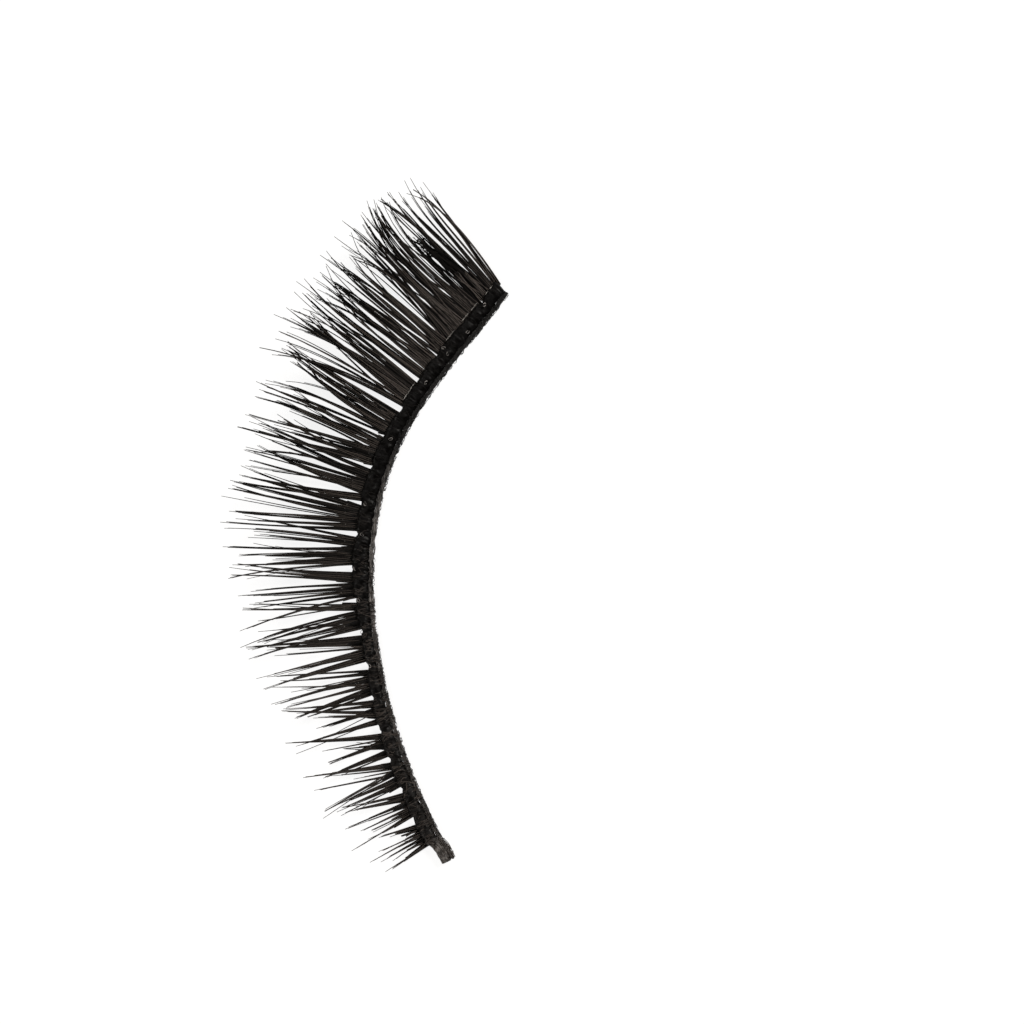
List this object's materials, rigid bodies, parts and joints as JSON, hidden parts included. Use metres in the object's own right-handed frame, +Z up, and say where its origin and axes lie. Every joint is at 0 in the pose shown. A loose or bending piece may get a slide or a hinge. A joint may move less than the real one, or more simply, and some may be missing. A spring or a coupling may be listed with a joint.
{
  "type": "false eyelash strip",
  "caption": "Curved glued band with a thread along its eye side and curled, crossing lash tufts that shorten towards the inner corner.",
  "frame": {"origin": "under the middle of the strip's box, on the surface that it lies on", "axes": "+X along the band's chord from the outer corner, with the longest lashes, to the inner corner with the bare stub; -Y out through the lash tips and +Y to the eye side; +Z up, the way the lashes curl"},
  "size_m": [0.0366, 0.014, 0.0037],
  "materials": {
    "band_glue": "dried black lash glue, half gloss, with knots showing through",
    "thread": "matt black spun cotton thread, a little fuzzy",
    "lash_fibre": "fine black synthetic fibre with a soft sheen"
  },
  "bodies": {
    "root": {"band": "band_glue", "edge_thread": "thread", "lash_tuft_01": "lash_fibre", "lash_tuft_02": "lash_fibre", "lash_tuft_03": "lash_fibre", "lash_tuft_04": "lash_fibre", "lash_tuft_05": "lash_fibre", "lash_tuft_06": "lash_fibre", "lash_tuft_07": "lash_fibre", "lash_tuft_08": "lash_fibre", "lash_tuft_09": "lash_fibre", "lash_tuft_10": "lash_fibre", "lash_tuft_11": "lash_fibre", "lash_tuft_12": "lash_fibre", "lash_tuft_13": "lash_fibre", "lash_tuft_14": "lash_fibre", "lash_tuft_15": "lash_fibre", "lash_tuft_16": "lash_fibre", "lash_tuft_17": "lash_fibre", "lash_tuft_18": "lash_fibre", "lash_tuft_19": "lash_fibre", "lash_tuft_20": "lash_fibre", "lash_tuft_21": "lash_fibre", "lash_tuft_22": "lash_fibre", "lash_tuft_23": "lash_fibre", "lash_tuft_24": "lash_fibre", "lash_tuft_25": "lash_fibre", "lash_tuft_26": "lash_fibre", "lash_tuft_27": "lash_fibre", "lash_tuft_28": "lash_fibre", "lash_tuft_29": "lash_fibre", "lash_tuft_30": "lash_fibre", "lash_tuft_31": "lash_fibre", "lash_tuft_32": "lash_fibre", "lash_tuft_33": "lash_fibre", "lash_tuft_34": "lash_fibre", "lash_tuft_35": "lash_fibre", "lash_tuft_36": "lash_fibre", "lash_tuft_37": "lash_fibre", "lash_tuft_38": "lash_fibre"}
  },
  "joints": []
}
